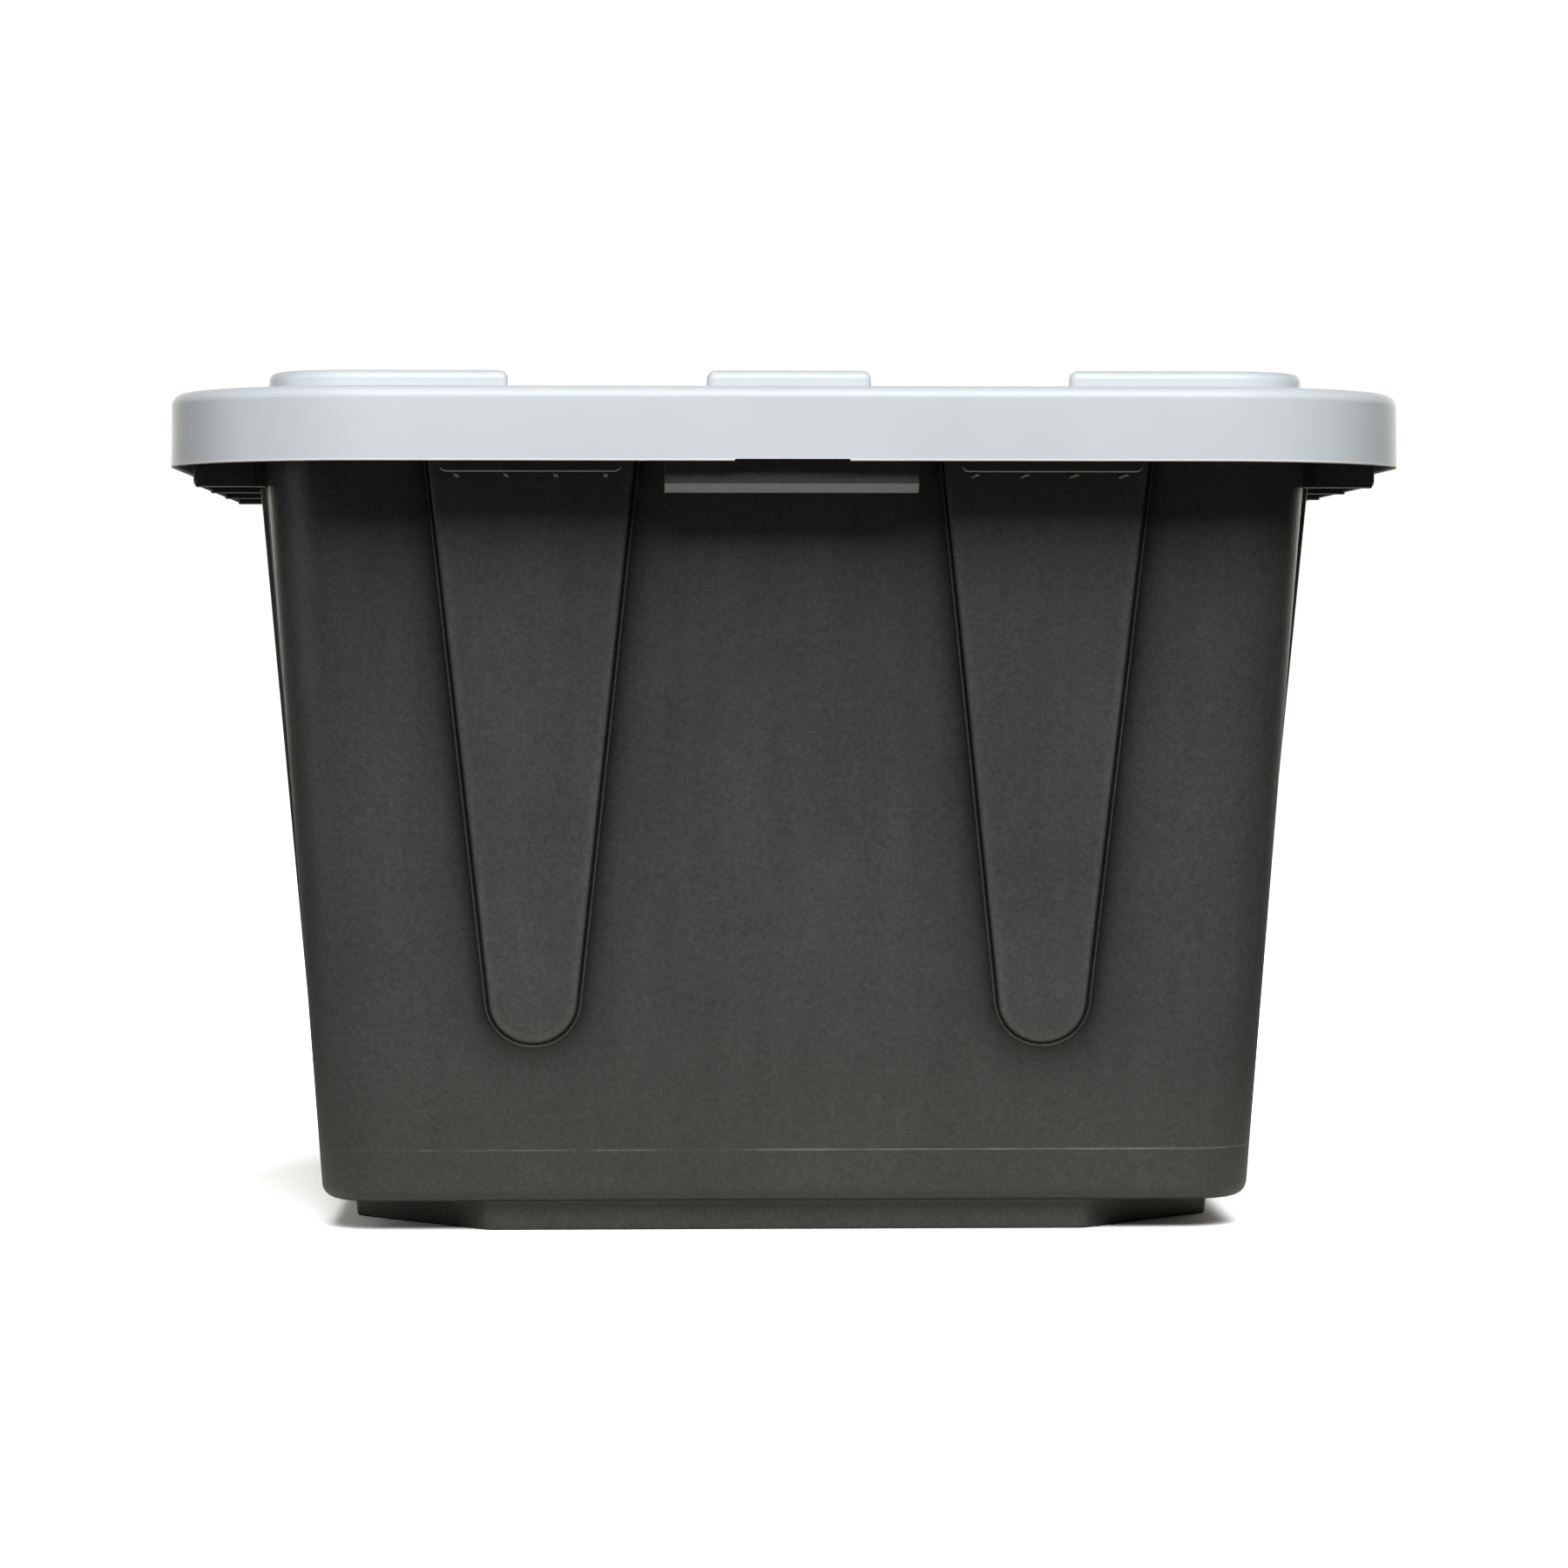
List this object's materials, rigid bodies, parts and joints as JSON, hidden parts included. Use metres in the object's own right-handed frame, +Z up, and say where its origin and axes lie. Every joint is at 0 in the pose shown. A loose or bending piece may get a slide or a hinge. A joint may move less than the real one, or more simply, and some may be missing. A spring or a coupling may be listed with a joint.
{
  "type": "lidded storage tote",
  "caption": "Rectangular plastic storage tote with drafted walls, raised tapering ribs, end hand grips, an eight-sided foot and a lift-off snap lid with stacking pads.",
  "frame": {"origin": "middle of the foot's underside, on the surface that the tote stands on", "axes": "+Z up, X along the long side between the two hand grips, the long sides face -Y and +Y"},
  "size_m": [0.61, 0.4792, 0.424],
  "materials": {
    "black_plastic": "fine spark-eroded grain, satin matte",
    "grey_plastic": "fine grain, satin"
  },
  "bodies": {
    "tub": {"tub": "black_plastic"},
    "lid": {"lid": "grey_plastic"}
  },
  "joints": [
    {"name": "lid_lift", "type": "slide", "parent": "tub", "child": "lid", "axis": [0, 0, 1], "range_m": [0, 0.25]}
  ]
}
